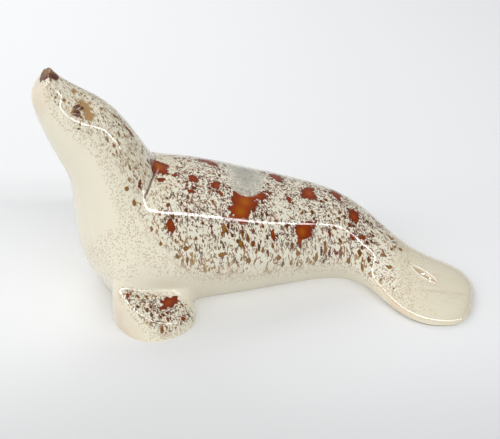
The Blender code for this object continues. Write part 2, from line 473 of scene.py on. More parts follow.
# A mark is an oval: section number, degrees round from the ridge, and mm along and down the skin.
RUST_MARKS = [
    # left flank, from the shoulder to the tail
    Mark(11.25, 8, 6.5, 6.5), Mark(8.7, 16, 4.5, 2.8), Mark(8.1, 21, 4, 3.6), Mark(8.05, 28, 1.3, 3.6),
    Mark(7.5, 34, 9.2, 8), Mark(7.6, 42, 8.6, 8), Mark(7.2, 27, 8, 4), Mark(7.85, 48, 4, 4),
    Mark(6.2, 54, 8.4, 3.8), Mark(6.28, 61, 5.4, 6), Mark(6.3, 69, 2, 4.6), Mark(6.0, 14, 6, 5),
    Mark(4.9, 22, 4.4, 4.2), Mark(8.7, 46, 5, 2), Mark(9.6, 56, 2.4, 3.6), Mark(9.55, 61, 1.2, 3),
    Mark(10.3, 20, 2, 2), Mark(9.3, 14, 1.8, 1.6), Mark(8.9, 30, 2.2, 1.8), Mark(6.9, 62, 1.1, 4.5),
    Mark(6.5, 26, 1.5, 2.2), Mark(5.3, 83, 2.2, 3.2), Mark(4.8, 50, 1.4, 3.6), Mark(4.5, 34, 2.4, 2.6),
    Mark(13.0, 50, 1.6, 2), Mark(8.35, 57, 1, 3), Mark(7.35, 60, 0.9, 4), Mark(5.5, 60, 0.9, 4),
    # along the ridge and the back of the neck
    Mark(8.2, -13, 8, 4), Mark(6.7, -8, 8, 3.6), Mark(5.4, -9, 8, 3.8), Mark(14.4, 13, 1.3, 5),
    # right flank
    Mark(10.4, -26, 4, 4), Mark(8.9, -40, 7, 6), Mark(7.3, -55, 8, 7), Mark(5.9, -32, 5, 4.5),
    Mark(9.7, -66, 2.5, 4), Mark(6.4, -74, 2, 3.5), Mark(5.0, -55, 3, 3), Mark(8.2, -76, 2, 2.4),
    Mark(12.8, -36, 2.4, 3), Mark(4.4, -28, 2, 2), Mark(7.9, -24, 2.4, 2), Mark(6.8, -80, 2, 2),
]
BROWN_MARKS = [
    Mark(8.1, 81, 3, 1.5), Mark(9.1, 75, 1.7, 1.4), Mark(8.0, 57, 1.3, 3.2), Mark(7.7, 71, 1.4, 2),
    Mark(7.5, 88, 1.5, 2.6), Mark(6.8, 87, 1.6, 2.6), Mark(5.9, 90, 1.1, 3.4), Mark(4.8, 87, 1.1, 2.8),
    Mark(4.0, -12, 1.6, 1.8), Mark(3.8, 23, 2.2, 1.5), Mark(3.5, 32, 1.4, 1.4), Mark(3.6, -11, 1.5, 1.5),
    Mark(10.6, 62, 1.1, 1.8), Mark(6.4, 84, 1.1, 2), Mark(7.2, 79, 1, 2.2), Mark(5.6, 78, 1, 2.4),
    Mark(9.9, 70, 1.1, 1.6), Mark(8.6, 68, 1, 1.6), Mark(12.6, 62, 1, 1.8), Mark(13.3, 66, 1.2, 1.2),
    Mark(8.4, -84, 2, 1.5), Mark(7.4, -88, 1.4, 2.2), Mark(6.2, -86, 1.4, 2), Mark(9.4, -72, 1.4, 1.6),
]
# The rust is deeper the larger its mark is, up to this many mm down the skin.
RUST_LARGEST = 6
RUST_SCALE = 4
# Rust on the fore flippers: mm back of the shoulder, out, along and down.
FLIPPER_MARKS = [(6, 48, 7.5, 3.6), (-16, 50, 1.8, 1.8), (14, 55, 1.6, 1.6)]
# A painted reflection: the grey oval that the glaze mirrors on the back.
PAINTED_REFLECTION_PATCH = Mark(7.4, 1, 23, 12)
AMBER_MARKS = [
    Mark(16.35, 38, 5.6, 5.0), Mark(16.1, 47, 3.6, 3.6), Mark(16.75, 62, 2.6, 2.8),
    Mark(16.5, 67, 2.4, 2.0), Mark(17.1, 16, 2.4, 2.4),
]
POOLED_MARKS = [
    Mark(16.72, 46, 2.6, 1.2), Mark(16.5, 42, 1.8, 1.1), Mark(19.7, 28, 0.9, 0.8),
    Mark(16.15, 78, 1.4, 0.7),
]
EYE_POOL = (2.4, 2.7)
UNMARKED = -4.0
MARK_THICKNESS = 6
STEEP_FROM = 0.25
TOP_FACING = 0.25
OUTSIDE_PENALTY = 4
# How far round from the ridge the white reaches, in degrees, by section number.
COVER_EDGE = {
    3.4: 70, 4.4: 94, 5: 108, 5.8: 113, 7.2: 111, 8: 106, 9.1: 94,
    10.5: 80, 12: 72, 13.7: 82, 15: 80, 16.4: 90, 17.6: 96, 18.8: 82,
}
COVER_SPAN = 90
TAIL_EDGE = 85
TAIL_SPAN = 45
HAND_END = -25
HAND_TOP = 34
HAND_TOP_FADE = 10
HAND_UPWARD, HAND_BACKWARD, HAND_LESS = 0.75, 0.01, 0.15
NOSE_TIP = 19.75
NOSE_AHEAD = 1.0
NOSE_REACH = 8.4
FOLD_REACH = 1.1
LIP_SHINE = 0.45
CLEFT_EDGE, CLEFT_FADE = 1.15, 0.5
ARM_PRICKS, FLUKE_PRICKS, CHIN_PEACH = 0.9, 0.8, 0.5
# Each pair says where a part of the skin begins and where it is reached in full: in mm from the
# middle of the foot or above it, in section numbers, in degrees round, or as a share.
HAND_OUT = (39, 50)
ARM_FROM, ARM_TO, ARM_ROUND = (10.2, 10.8), (13, 12.4), (62, 78)
HAND_EDGE_OUT, HAND_FRONT_OUT, HAND_FRONT_FACING = (44, 50), (42, 50), (0.0, -0.5)
EDGE_FROM, EDGE_TO = (-0.28, -0.03), (0.05, 0.3)
FLUKE_FROM, FLUKE_FACING, FLUKE_FINE = (66, 84), (0.2, 0.6), (126, 90)
RIM_FROM, RIM_FACING, RIM_LIFT = (60, 76), (0.75, 0.35), (1, 3)
CHIN_FROM, CHIN_ROUND = (17.2, 18.2), (60, 90)
GOLDEN_FROM = (11.9, 13.2)
LIP_ENDS = (0.0, 0.3)


def ring_frames():
    """The middle, left, up and half sizes of every section, in metres, as arrays."""
    middles = np.array([on_plan(Vector((ring.x, ring.y, ring.z))) for ring in SPINE])
    lefts = np.array([frame_of(ring)[1] for ring in SPINE])
    ups = np.array([frame_of(ring)[2] for ring in SPINE])
    sizes = np.array([(ring.half_width, ring.half_height) for ring in SPINE]) * MM
    return middles, lefts, ups, sizes


def between(rows, station):
    low = int(min(station, len(rows) - 1.001))
    return rows[low] * (1 - station + low) + rows[low + 1] * (station - low)


points = np.empty(len(skin.vertices) * 3)
skin.vertices.foreach_get("co", points)
points = points.reshape(-1, 3)
normals = np.empty(len(skin.vertices) * 3)
skin.vertices.foreach_get("normal", normals)
normals = normals.reshape(-1, 3)
middles, lefts, ups, sizes = ring_frames()
heights = np.cross(lefts, ups)
stations = np.zeros(len(points))
turns = np.zeros(len(points))
nearest = np.full(len(points), np.inf)
for number in range(len(SPINE) - 1):
    before = ((points - middles[number]) * heights[number]).sum(1)
    after = ((points - middles[number + 1]) * heights[number + 1]).sum(1)
    share = np.clip(before / np.where(before == after, 1, before - after), 0, 1)[:, None]
    middle = middles[number] * (1 - share) + middles[number + 1] * share
    offset = points - middle
    left = lefts[number] * (1 - share) + lefts[number + 1] * share
    up = ups[number] * (1 - share) + ups[number + 1] * share
    size = sizes[number] * (1 - share) + sizes[number + 1] * share
    far = np.linalg.norm(offset, axis=1) + np.where(before * after > 0, OUTSIDE_PENALTY * MM, 0)
    closer = far < nearest
    nearest[closer] = far[closer]
    stations[closer] = (number + share[:, 0])[closer]
    turn = np.degrees(np.arctan2((offset * left).sum(1) / size[:, 0], (offset * up).sum(1) / size[:, 1]))
    turns[closer] = turn[closer]


def ramp(values, low, high):
    share = np.clip((values - low) / (high - low), 0, 1)
    return share * share * (3 - 2 * share)


def on_skin(station, turn):
    """The point of the skin at a section number and an angle round from the ridge, and its normal."""
    size = between(sizes, station)
    left, up = between(lefts, station), between(ups, station)
    angle = radians(turn)
    place = between(middles, station) + left * size[0] * sin(angle) + up * size[1] * cos(angle)
    found = np.argmin(((points - place) ** 2).sum(1))
    return points[found], normals[found]


def blot(middle, normal, along, down):
    """How near each point is to an oval mark on the skin: 1 at its middle, 0 at its edge, less outside."""
    downhill = np.array((0, 0, -1.0)) + normal * normal[2]
    if np.linalg.norm(downhill) < STEEP_FROM:
        downhill = np.array((0, -1.0, 0)) + normal * normal[1]
    downhill /= np.linalg.norm(downhill)
    level = np.cross(normal, downhill)
    offset = (points - middle) / MM
    reach = ((offset @ downhill) / down) ** 2 + ((offset @ level) / along) ** 2
    reach += ((offset @ normal) / MARK_THICKNESS) ** 2
    return 1 - np.sqrt(reach)


def marked(marks, sides=(1,)):
    """How far inside the nearest of some marks each point is, for each side that has them."""
    deepest = np.full(len(points), UNMARKED)
    for side in sides:
        for mark in marks:
            found = on_skin(mark.station, mark.turn * side)
            deepest = np.maximum(deepest, blot(*found, mark.along, mark.down))
    return deepest


def keep(name, values):
    skin.attributes.new(name, "FLOAT", "POINT").data.foreach_set("value", values.astype(np.float32))


shoulder_along, shoulder_left, _ = (np.array(way) for way in frame_of(SHOULDER))
shoulder_middle = np.array(on_plan(Vector((SHOULDER.x, SHOULDER.y, 0))))
from_shoulder = (points - shoulder_middle) / MM
out = np.abs(from_shoulder @ shoulder_left)
lengthwise, height = points[:, 0] / MM, points[:, 2] / MM
hand = ramp(out, *HAND_OUT) * ramp(HAND_TOP - height, 0, HAND_TOP_FADE) * (lengthwise < HAND_END)

edges, reaches = list(COVER_EDGE), list(COVER_EDGE.values())
cover = (np.interp(stations, edges, reaches) - np.abs(turns)) / COVER_SPAN
cover = np.minimum(cover, (TAIL_EDGE - lengthwise) / TAIL_SPAN)
hand_cover = HAND_UPWARD * normals[:, 2] + HAND_BACKWARD * from_shoulder @ shoulder_along - HAND_LESS
cover = cover * (1 - hand) + hand * hand_cover
keep("white_depth", cover)

rust = np.full(len(points), UNMARKED)
for mark in RUST_MARKS:
    strength = min(mark.down, RUST_LARGEST) / RUST_SCALE
    rust = np.maximum(rust, blot(*on_skin(mark.station, mark.turn), mark.along, mark.down) * strength)
tops = normals[:, 2] > TOP_FACING
for side in (1, -1):
    for back, outwards, along, down in FLIPPER_MARKS:
        place = shoulder_middle + (shoulder_along * back + shoulder_left * side * outwards) * MM
        found = np.argmin(((points[:, :2] - place[:2]) ** 2).sum(1) + ~tops)
        rust = np.maximum(rust, blot(points[found], normals[found], along, down))
keep("rust", rust)
keep("brown", marked(BROWN_MARKS))
keep("reflection_greyed", marked([PAINTED_REFLECTION_PATCH]))
keep("amber", marked(AMBER_MARKS, (1, -1)))

pooled = marked(POOLED_MARKS, (1, -1))
for side in (1, -1):
    eye_place = np.array(off_section(HEAD, HEAD.z, EYE_SEAT, side))
    found = np.argmin(((points - eye_place) ** 2).sum(1))
    pooled = np.maximum(pooled, blot(points[found], normals[found], *EYE_POOL))
keep("pooled", pooled)

tip = np.array(skin_place(NOSE_TIP, 0)) - np.array((NOSE_AHEAD, 0, 0)) * MM
keep("nose", 1 - np.linalg.norm((points - tip) / MM, axis=1) / NOSE_REACH)

from_cleft = (points - np.array(cleft)) / MM
run, off = from_cleft @ np.array(slit_way), np.abs(from_cleft @ np.array(slit_side))
opening = slit_opening(run)
above = height > CLEFT_FLOOR
across_slit = off / (CLEFT_REACH.y * opening + NARROWEST)
keep("in_cleft", ramp(CLEFT_EDGE - across_slit, 0, CLEFT_FADE) * above)
# A painted highlight: near-white along the lips of the slit, where the lamp's reflection runs.
lip_painted_highlight = bell(off - CLEFT_REACH.y * opening - LIP_SHINE, LIP_SHINE) * ramp(opening, *LIP_ENDS)
keep("lip_painted_highlight", lip_painted_highlight * above)

# Pinpricks lie in the thin edge of the white, on the arms and on the hind flippers.
arm = ramp(stations, *ARM_FROM) * ramp(stations, *ARM_TO) * ramp(np.abs(turns), *ARM_ROUND)
arm = np.maximum(arm, ramp(out, *HAND_EDGE_OUT) * (lengthwise < HAND_END))
on_fluke = ramp(lengthwise, *FLUKE_FROM) * ramp(normals[:, 2], *FLUKE_FACING)
uncovered = 1 - ramp(cover, *EDGE_TO)
pinpricks = np.maximum(ramp(cover, *EDGE_FROM) * uncovered, ARM_PRICKS * arm * (1 - hand))
pinpricks = np.maximum(pinpricks, FLUKE_PRICKS * on_fluke * ramp(lengthwise, *FLUKE_FINE) * uncovered)
keep("pinpricks", pinpricks)
keep("on_fluke", on_fluke)
keep("golden", ramp(stations, *GOLDEN_FROM))

# The cream is warmer on the rim of the hind flippers, the front of the fore ones and the chin.
rim = ramp(normals[:, 2], *RIM_FACING) * ramp(lengthwise, *RIM_FROM) * ramp(height, *RIM_LIFT)
front = ramp(out, *HAND_FRONT_OUT) * ramp(normals[:, 0], *HAND_FRONT_FACING) * (lengthwise < HAND_END)
chin = ramp(stations, *CHIN_FROM) * ramp(np.abs(turns), *CHIN_ROUND)
keep("peach", np.maximum(np.maximum(rim, front), CHIN_PEACH * chin))

folded = np.full(len(points), UNMARKED)
for side in (1, -1):
    line = [np.array(skin_place(station, turn * side)) for station, turn in NECK_FOLD[1:]]
    for start, end in zip(line, line[1:]):
        run = end - start
        share = np.clip((points - start) @ run / (run @ run), 0, 1)[:, None]
        away = np.linalg.norm(points - start - run * share, axis=1) / MM
        folded = np.maximum(folded, 1 - away / FOLD_REACH)
keep("folded", folded)


# The glaze itself, and the bare clay
# A clear cream coat, and over it a white that has crawled and run: it breaks into a lace round
# brown specks, which draw out downhill. It is smooth and wet-looking. The clay of the foot and of
# the inside is buff, matt and a little grainy.
CREAM = (0.87, 0.815, 0.655, 1)
WHITE = (0.82, 0.78, 0.645, 1)
DULL_CREAM = (0.745, 0.685, 0.53, 1)
PEACH = (0.80, 0.66, 0.49, 1)
SPECK_DARK = (0.10, 0.030, 0.004, 1)
SPECK_BROWN = (0.26, 0.090, 0.010, 1)
SPECK_GOLD = (0.40, 0.23, 0.05, 1)
STROKE_BROWN = (0.15, 0.07, 0.03, 1)
STROKE_GOLD = (0.32, 0.18, 0.06, 1)
SPOT_GOLD = (0.30, 0.13, 0.02, 1)
RUST_EDGE = (0.12, 0.018, 0.002, 1)
RUST_RED = (0.22, 0.028, 0.002, 1)
RUST_ORANGE = (0.34, 0.058, 0.001, 1)
RUST_HEART = (0.38, 0.11, 0.001, 1)
AMBER = (0.40, 0.22, 0.07, 1)
PINPRICK_TAN = (0.44, 0.28, 0.15, 1)
NOSE_EDGE = (0.13, 0.045, 0.025, 1)
NOSE_GOLD = (0.28, 0.15, 0.05, 1)
REFLECTION_GREY = (0.43, 0.42, 0.36, 1)
LIP_PAINTED_HIGHLIGHT = (1.0, 0.97, 0.88, 1)
POOLED_BROWN = (0.12, 0.03, 0.008, 1)
PUPIL_DARK = (0.05, 0.012, 0.005, 1)
# How far places are pushed about, in metres, and the grain of each push.
SWAY, SWAY_GRAIN = 0.003, 130.0
FRAY, FRAY_GRAIN = 0.0011, 1100.0
# A small share draws a pattern out that way: downhill, and along the hind flippers.
RUN_STRETCH = (1, 1, 0.32)
RAY_STRETCH = (0.07, 1, 0.3)
# Cells or waves of each pattern to the metre.
FINE_GRAIN, MID_GRAIN, BROAD_GRAIN = 900.0, 330.0, 45.0
PATCHY_GRAIN, RAGGED_GRAIN, WAVE_GRAIN = 75.0, 120.0, 60.0
CELL_GRAIN, WORM_GRAIN, STROKE_GRAIN = 350.0, 490.0, 760.0
PRICK_GRAIN, RAY_GRAIN = 820.0, 520.0
# The least size of a speck and how much luck adds to it, as shares of a cell.
SPECK_LEAST, SPECK_RANGE = 0.04, 0.34
STROKE_LEAST, STROKE_RANGE = 0.06, 0.48
PRICK_LEAST, PRICK_RANGE = 0.30, 0.24
# How strongly each layer shows or is held back.
COVER_SWING, SPECK_PATCHINESS, HEAD_THINNING = 0.5, 0.08, 0.25
WORM_PATCHINESS, WORM_STAINING, FLECK_LIMIT, FLECK_STAINING = 0.06, 0.08, 0.60, 0.04
STREAK_THINNING, STREAK_STRENGTH = 0.5, 0.92
STROKE_FAINTEST, STROKE_CONTRAST = 0.45, 0.5
PRICK_FAINTEST, PRICK_CONTRAST, PRICK_SCATTER = 0.2, 0.3, 0.9
FLUKE_DULLNESS, HEAD_CREAM, HEAD_GOLD = 0.9, 0.7, 0.62
SPECK_STAINING, HEART_DARKNESS, RAY_STRENGTH = 0.8, 0.5, 0.22
FINE_RAGGED, MID_RAGGED, WIDE_RAGGED = 1.0, 1.6, 1.6
BROWN_RAGGED, REFLECTION_RAGGED, NOSE_RAGGED, POOL_RAGGED = 0.7, 0.12, 0.35, 0.16
REFLECTION_STRENGTH, AMBER_STRENGTH, NOSE_STRENGTH, FOLD_STRENGTH = 0.85, 0.9, 0.8, 0.8
CLEFT_STRENGTH, LIP_HIGHLIGHT_STRENGTH, POOL_STRENGTH = 0.42, 0.9, 0.92
COVER_RELIEF, SPECK_RELIEF, RUST_RELIEF = 0.4, 0.25, 0.7
# Each pair says where a blend begins and where it is full.
PATCHES, COVERED, DEEP, STAINED = (0.3, 0.7), (-0.02, 0.22), (0.02, 0.18), (-1.6, -0.2)
SPECK_EDGE, SPECK_HEART = (-0.05, 0.05), (0.02, 0.16)
WORM_WIDTH, WORM_BREAKS, FLECK_EDGE = (0.075, 0.03), (0.47, 0.56), (-0.03, 0.05)
STROKE_COVER, STROKE_EDGE, PRICK_EDGE = (0.0, 0.25), (-0.06, 0.06), (-0.08, 0.12)
BLUSH, GOLD_IN_THIN, DARK_LUCK = (0.3, 0.6), (0.5, 0.1), (0.2, 0.8)
RAY_EDGE, RAY_PATCHES = (0.54, 0.66), (0.4, 0.6)
BROWN_EDGE, BROWN_HEART = (0.0, 0.12), (0.10, 0.35)
RUST_COVER, RUST_REDDENS = (0.06, 0.16), (0.12, 0.35)
RUST_TO_ORANGE, RUST_TO_HEART = (0.3, 1.2), (0.8, 1.6)
REFLECTION_COVER, CRACK_WIDTH, CRACK_FADE = (0.0, 0.1), (0.07, 0.02), (0.75, 0.2)
AMBER_COVER, NOSE_COVER, NOSE_HEART = (0.05, 0.55), (0.0, 0.14), (0.22, 0.7)
FOLD_COVER, POOL_COVER, PUPIL_COVER = (0.0, 0.7), (0.0, 0.25), (0.45, 0.85)
FINE_ROUGHNESS = 0.55
GLAZE_ROUGHNESS, GLAZE_IOR = 0.05, 1.55
RELIEF_HEIGHT, RELIEF_STRENGTH = 0.00006, 0.6
WAVE_HEIGHT, WAVE_STRENGTH = 0.00012, 1.0
CLAY_DARK = (0.66, 0.57, 0.44, 1)
CLAY_PALE = (0.78, 0.70, 0.57, 1)
CLAY_GRAIN, CLAY_PATCHES = 900.0, 60.0
CLAY_GRAIN_HEIGHT, CLAY_GRAIN_STRENGTH = 0.0002, 0.5
CLAY_ROUGHNESS = 0.85


def add_node(tree, kind, inputs=None, **settings):
    made = tree.nodes.new(kind)
    for name, value in settings.items():
        setattr(made, name, value)
    for name, value in (inputs or {}).items():
        if isinstance(value, bpy.types.NodeSocket):
            tree.links.new(value, made.inputs[name])
        else:
            made.inputs[name].default_value = value
    return made


def worked_out(tree, operation, first, second=0.0):
    return add_node(tree, "ShaderNodeMath", {0: first, 1: second}, operation=operation).outputs[0]


def plus(tree, first, second):
    return worked_out(tree, "ADD", first, second)


def minus(tree, first, second):
    return worked_out(tree, "SUBTRACT", first, second)


def times(tree, first, second):
    return worked_out(tree, "MULTIPLY", first, second)


def swing(tree, pattern, strength):
    """A pattern's departure from its middle value."""
    return times(tree, minus(tree, pattern, 0.5), strength)


def rise(tree, value, low, high):
    """0 below low, 1 above high, and smooth between."""
    made = add_node(
        tree, "ShaderNodeMapRange", {"Value": value, "From Min": low, "From Max": high},
        interpolation_type="SMOOTHSTEP",
    )
    return made.outputs["Result"]


def blended(tree, share, under, over):
    made = add_node(tree, "ShaderNodeMix", {0: share, 6: under, 7: over}, data_type="RGBA")
    return made.outputs[2]


def laid_over(tree, under, colour, mask, low, high, strength=1.0):
    """A colour over what lies under it, from nothing where the mask is low to its strength at high."""
    return blended(tree, times(tree, rise(tree, mask, low, high), strength), under, colour)


def cloud(tree, place, scale, detail=2.0, roughness=0.5):
    inputs = {"Vector": place, "Scale": scale, "Detail": detail, "Roughness": roughness}
    return add_node(tree, "ShaderNodeTexNoise", inputs).outputs["Fac"]


def lessened(tree, value, mask, share):
    """A value that loses a share of itself where the mask is full."""
    return times(tree, value, minus(tree, 1.0, times(tree, mask, share)))


def pushed(tree, places, source, scale, reach):
    """Places pushed by up to a reach in metres, by a noise that is read at the source."""
    push = add_node(tree, "ShaderNodeTexNoise", {"Vector": source, "Scale": scale, "Detail": 1.0})
    return add_node(
        tree, "ShaderNodeVectorMath", {0: push.outputs["Color"], 1: (reach, reach, reach), 2: places},
        operation="MULTIPLY_ADD",
    ).outputs[0]


def bumped(tree, height, distance, strength, under=None):
    inputs = {"Strength": strength, "Distance": distance, "Height": height}
    if under:
        inputs["Normal"] = under
    return add_node(tree, "ShaderNodeBump", inputs).outputs["Normal"]


def marks_of(tree, name):
    return add_node(tree, "ShaderNodeAttribute", attribute_name=name).outputs["Fac"]


tree = glaze.node_tree
finish = tree.nodes["Principled BSDF"]
place = add_node(tree, "ShaderNodeTexCoord").outputs["Object"]
running = add_node(tree, "ShaderNodeMapping", {"Vector": place, "Scale": RUN_STRETCH}).outputs["Vector"]
swayed = pushed(tree, running, place, SWAY_GRAIN, SWAY)
frayed = pushed(tree, swayed, place, FRAY_GRAIN, FRAY)
fine = cloud(tree, swayed, FINE_GRAIN, roughness=FINE_ROUGHNESS)
mid = cloud(tree, swayed, MID_GRAIN)
broad = cloud(tree, place, BROAD_GRAIN)
patchy = rise(tree, cloud(tree, place, PATCHY_GRAIN, detail=1.0), *PATCHES)
golden_part = marks_of(tree, "golden")
fluke_part = marks_of(tree, "on_fluke")
prick_part = marks_of(tree, "pinpricks")
rust_depth = marks_of(tree, "rust")
depth = plus(tree, marks_of(tree, "white_depth"), swing(tree, broad, COVER_SWING))
covered = rise(tree, depth, *COVERED)
deep = rise(tree, depth, *DEEP)
stained = rise(tree, rust_depth, *STAINED)

# Specks sit at the middles of cells, each with its own size and hue.
cells = add_node(tree, "ShaderNodeTexVoronoi", {"Vector": frayed, "Scale": CELL_GRAIN})
luck = add_node(tree, "ShaderNodeSeparateColor", {"Color": cells.outputs["Color"]})
size = plus(tree, times(tree, luck.outputs[0], SPECK_RANGE), times(tree, patchy, SPECK_PATCHINESS))
size = times(tree, plus(tree, size, SPECK_LEAST), times(tree, covered, deep))
size = lessened(tree, size, golden_part, HEAD_THINNING)
over_limit = minus(tree, size, cells.outputs["Distance"])
speck = rise(tree, over_limit, *SPECK_EDGE)
speck_heart = rise(tree, over_limit, *SPECK_HEART)

# Thin streaks wind between the specks, more of them round the rust.
worm = worked_out(tree, "ABSOLUTE", minus(tree, cloud(tree, frayed, WORM_GRAIN, detail=1.0), 0.5))
broken = plus(tree, mid, times(tree, patchy, WORM_PATCHINESS))
broken = rise(tree, plus(tree, broken, times(tree, stained, WORM_STAINING)), *WORM_BREAKS)
streak = times(tree, rise(tree, worm, *WORM_WIDTH), broken)
limit = minus(tree, FLECK_LIMIT, times(tree, stained, FLECK_STAINING))
fleck = rise(tree, minus(tree, fine, limit), *FLECK_EDGE)
streak = worked_out(tree, "MAXIMUM", streak, fleck)
streak = lessened(tree, times(tree, streak, deep), golden_part, STREAK_THINNING)

# On the head and neck the white breaks finer, into short strokes.
short = add_node(tree, "ShaderNodeTexVoronoi", {"Vector": frayed, "Scale": STROKE_GRAIN})
short_luck = add_node(tree, "ShaderNodeSeparateColor", {"Color": short.outputs["Color"]})
stroke = plus(tree, times(tree, short_luck.outputs[0], STROKE_RANGE), STROKE_LEAST)
stroke = times(tree, stroke, times(tree, golden_part, rise(tree, depth, *STROKE_COVER)))
stroke = rise(tree, minus(tree, stroke, short.outputs["Distance"]), *STROKE_EDGE)
contrast = times(tree, short_luck.outputs[1], STROKE_CONTRAST)
stroke = times(tree, stroke, plus(tree, contrast, STROKE_FAINTEST))

# The white over the cream, and on it the specks, the streaks and the strokes.
blush = times(tree, marks_of(tree, "peach"), rise(tree, broad, *BLUSH))
bare = blended(tree, times(tree, fluke_part, FLUKE_DULLNESS), CREAM, DULL_CREAM)
bare = blended(tree, blush, bare, PEACH)
white = blended(tree, lessened(tree, covered, golden_part, HEAD_CREAM), bare, WHITE)
gold = times(tree, rise(tree, depth, *GOLD_IN_THIN), luck.outputs[1])
gold = worked_out(tree, "MAXIMUM", gold, times(tree, golden_part, HEAD_GOLD))
speck_hue = blended(tree, rise(tree, luck.outputs[2], *DARK_LUCK), SPECK_BROWN, SPECK_DARK)
speck_hue = blended(tree, times(tree, stained, SPECK_STAINING), speck_hue, RUST_EDGE)
speck_hue = blended(tree, gold, speck_hue, SPECK_GOLD)
speck_hue = blended(tree, times(tree, speck_heart, HEART_DARKNESS), speck_hue, SPECK_DARK)
stroke_hue = blended(tree, short_luck.outputs[2], STROKE_BROWN, STROKE_GOLD)
hue = blended(tree, times(tree, streak, STREAK_STRENGTH), white, speck_hue)
hue = blended(tree, speck, hue, speck_hue)
hue = blended(tree, stroke, hue, stroke_hue)

# Pinpricks in the thin edge of the white.
pricks = add_node(
    tree, "ShaderNodeTexVoronoi",
    {"Vector": place, "Scale": PRICK_GRAIN, "Randomness": PRICK_SCATTER},
)
prick_luck = add_node(tree, "ShaderNodeSeparateColor", {"Color": pricks.outputs["Color"]}).outputs[0]
prick = plus(tree, times(tree, prick_luck, PRICK_RANGE), PRICK_LEAST)
prick = minus(tree, times(tree, prick_part, prick), pricks.outputs["Distance"])
contrast = plus(tree, times(tree, prick_part, PRICK_CONTRAST), PRICK_FAINTEST)
prick = times(tree, rise(tree, prick, *PRICK_EDGE), contrast)
hue = blended(tree, prick, hue, PINPRICK_TAN)

# Faint rays run out over the hind flippers.
fanned = add_node(
    tree, "ShaderNodeMapping",
    {"Vector": place, "Rotation": (0, 0, radians(-CLEFT_HEADING)), "Scale": RAY_STRETCH},
).outputs["Vector"]
rays = rise(tree, cloud(tree, fanned, RAY_GRAIN), *RAY_EDGE)
rays = times(tree, times(tree, rays, fluke_part), rise(tree, broad, *RAY_PATCHES))
hue = blended(tree, times(tree, rays, RAY_STRENGTH), hue, PINPRICK_TAN)

# Golden-brown spots, and rust with a ragged dark edge and an orange heart where the mark is large.
ragged = plus(tree, swing(tree, fine, FINE_RAGGED), swing(tree, mid, MID_RAGGED))
ragged = plus(tree, ragged, swing(tree, cloud(tree, swayed, RAGGED_GRAIN, detail=1.0), WIDE_RAGGED))
browned = plus(tree, marks_of(tree, "brown"), times(tree, ragged, BROWN_RAGGED))
hue = laid_over(tree, hue, SPECK_DARK, browned, *BROWN_EDGE)
hue = laid_over(tree, hue, SPOT_GOLD, browned, *BROWN_HEART)
rusty = plus(tree, rust_depth, ragged)
rust_share = rise(tree, rusty, *RUST_COVER)
rust_hue = laid_over(tree, RUST_EDGE, RUST_RED, rusty, *RUST_REDDENS)
rust_hue = laid_over(tree, rust_hue, RUST_ORANGE, rust_depth, *RUST_TO_ORANGE)
rust_hue = laid_over(tree, rust_hue, RUST_HEART, rust_depth, *RUST_TO_HEART)
hue = blended(tree, rust_share, hue, rust_hue)

# A painted reflection: a grey, faintly crackled oval on the back, where the glaze mirrors something grey in
# the room.
reflection_greyed = plus(tree, marks_of(tree, "reflection_greyed"), times(tree, ragged, REFLECTION_RAGGED))
crackle = times(tree, rise(tree, worm, *CRACK_WIDTH), rise(tree, reflection_greyed, *CRACK_FADE))
patch_hue = blended(tree, crackle, REFLECTION_GREY, WHITE)
hue = laid_over(tree, hue, patch_hue, reflection_greyed, *REFLECTION_COVER, REFLECTION_STRENGTH)

# Amber on the face, a brown nose, the slit with a painted highlight along its lips, and dark pools in the
# folds and eyes.
ambered = plus(tree, marks_of(tree, "amber"), ragged)
hue = laid_over(tree, hue, AMBER, ambered, *AMBER_COVER, AMBER_STRENGTH)
nosed = plus(tree, marks_of(tree, "nose"), times(tree, ragged, NOSE_RAGGED))
hue = laid_over(tree, hue, NOSE_EDGE, nosed, *NOSE_COVER)
hue = laid_over(tree, hue, NOSE_GOLD, nosed, *NOSE_HEART, NOSE_STRENGTH)
hue = blended(tree, times(tree, marks_of(tree, "in_cleft"), CLEFT_STRENGTH), hue, AMBER)
# Painted highlight along the lips of the slit.
hue = blended(tree, times(tree, marks_of(tree, "lip_painted_highlight"), LIP_HIGHLIGHT_STRENGTH), hue, LIP_PAINTED_HIGHLIGHT)
hue = laid_over(tree, hue, SPECK_DARK, marks_of(tree, "folded"), *FOLD_COVER, FOLD_STRENGTH)
dark = plus(tree, marks_of(tree, "pooled"), times(tree, ragged, POOL_RAGGED))
hue = laid_over(tree, hue, POOLED_BROWN, dark, *POOL_COVER, POOL_STRENGTH)
hue = laid_over(tree, hue, PUPIL_DARK, dark, *PUPIL_COVER)

relief = minus(tree, times(tree, covered, COVER_RELIEF), times(tree, speck, SPECK_RELIEF))
relief = minus(tree, relief, times(tree, rust_share, RUST_RELIEF))
soft = bumped(tree, relief, RELIEF_HEIGHT, RELIEF_STRENGTH)
soft = bumped(tree, cloud(tree, place, WAVE_GRAIN, detail=1.0), WAVE_HEIGHT, WAVE_STRENGTH, soft)
tree.links.new(hue, finish.inputs["Base Color"])
tree.links.new(soft, finish.inputs["Normal"])
finish.inputs["Roughness"].default_value = GLAZE_ROUGHNESS
finish.inputs["IOR"].default_value = GLAZE_IOR

tree = clay.node_tree
finish = tree.nodes["Principled BSDF"]
place = add_node(tree, "ShaderNodeTexCoord").outputs["Object"]
clay_hue = blended(tree, cloud(tree, place, CLAY_PATCHES, detail=3.0), CLAY_DARK, CLAY_PALE)
grain = cloud(tree, place, CLAY_GRAIN, detail=3.0)
rough = bumped(tree, grain, CLAY_GRAIN_HEIGHT, CLAY_GRAIN_STRENGTH)
tree.links.new(clay_hue, finish.inputs["Base Color"])
tree.links.new(rough, finish.inputs["Normal"])
finish.inputs["Roughness"].default_value = CLAY_ROUGHNESS


